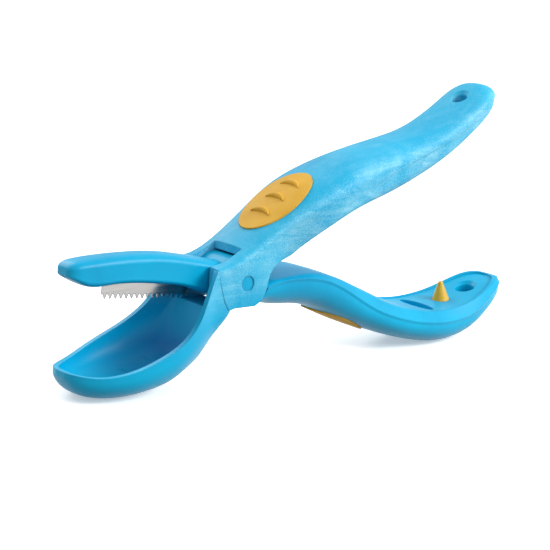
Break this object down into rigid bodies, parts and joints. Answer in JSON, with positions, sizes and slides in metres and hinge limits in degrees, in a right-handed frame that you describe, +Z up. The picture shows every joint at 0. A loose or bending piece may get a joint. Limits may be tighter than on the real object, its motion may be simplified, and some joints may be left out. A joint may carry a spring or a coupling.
{
  "type": "scoop jaw cutter pliers",
  "caption": "Plastic hand pliers with a scoop jaw facing a serrated blade arm, padded curved handles, a piercing cone and a return spring, for scoring nuts.",
  "frame": {"origin": "on the ground under the middle of the tool's length, in its middle plane; the tool stands on the scoop and on the belly of the lower handle", "axes": "+X from the jaws to the handle ends, +Y across the tool along the hinge, +Z up"},
  "size_m": [0.202, 0.0336, 0.0943],
  "materials": {
    "frosted_blue": "frosted with faint flow lines",
    "satin_blue": "satin",
    "soft_yellow": "matte",
    "hard_yellow": "satin",
    "blade_steel": "ground",
    "spring_steel": "drawn wire"
  },
  "bodies": {
    "scoop_side": {"scoop_lever": "frosted_blue", "thumb_pad": "soft_yellow", "pivot_pin": "satin_blue", "return_spring": "spring_steel"},
    "blade_side": {"blade_lever": "satin_blue", "serrated_blade": "blade_steel", "finger_pad": "soft_yellow", "piercing_cone": "hard_yellow"}
  },
  "joints": [
    {"name": "jaw_pivot", "type": "hinge", "parent": "scoop_side", "child": "blade_side", "pos_m": [-0.035, 0, 0.0332], "axis": [0, -1, 0], "range_deg": [0, 14], "stiffness_Nm_per_rad": 0.25, "springref_deg": -34.38, "deforming": ["return_spring"]}
  ]
}
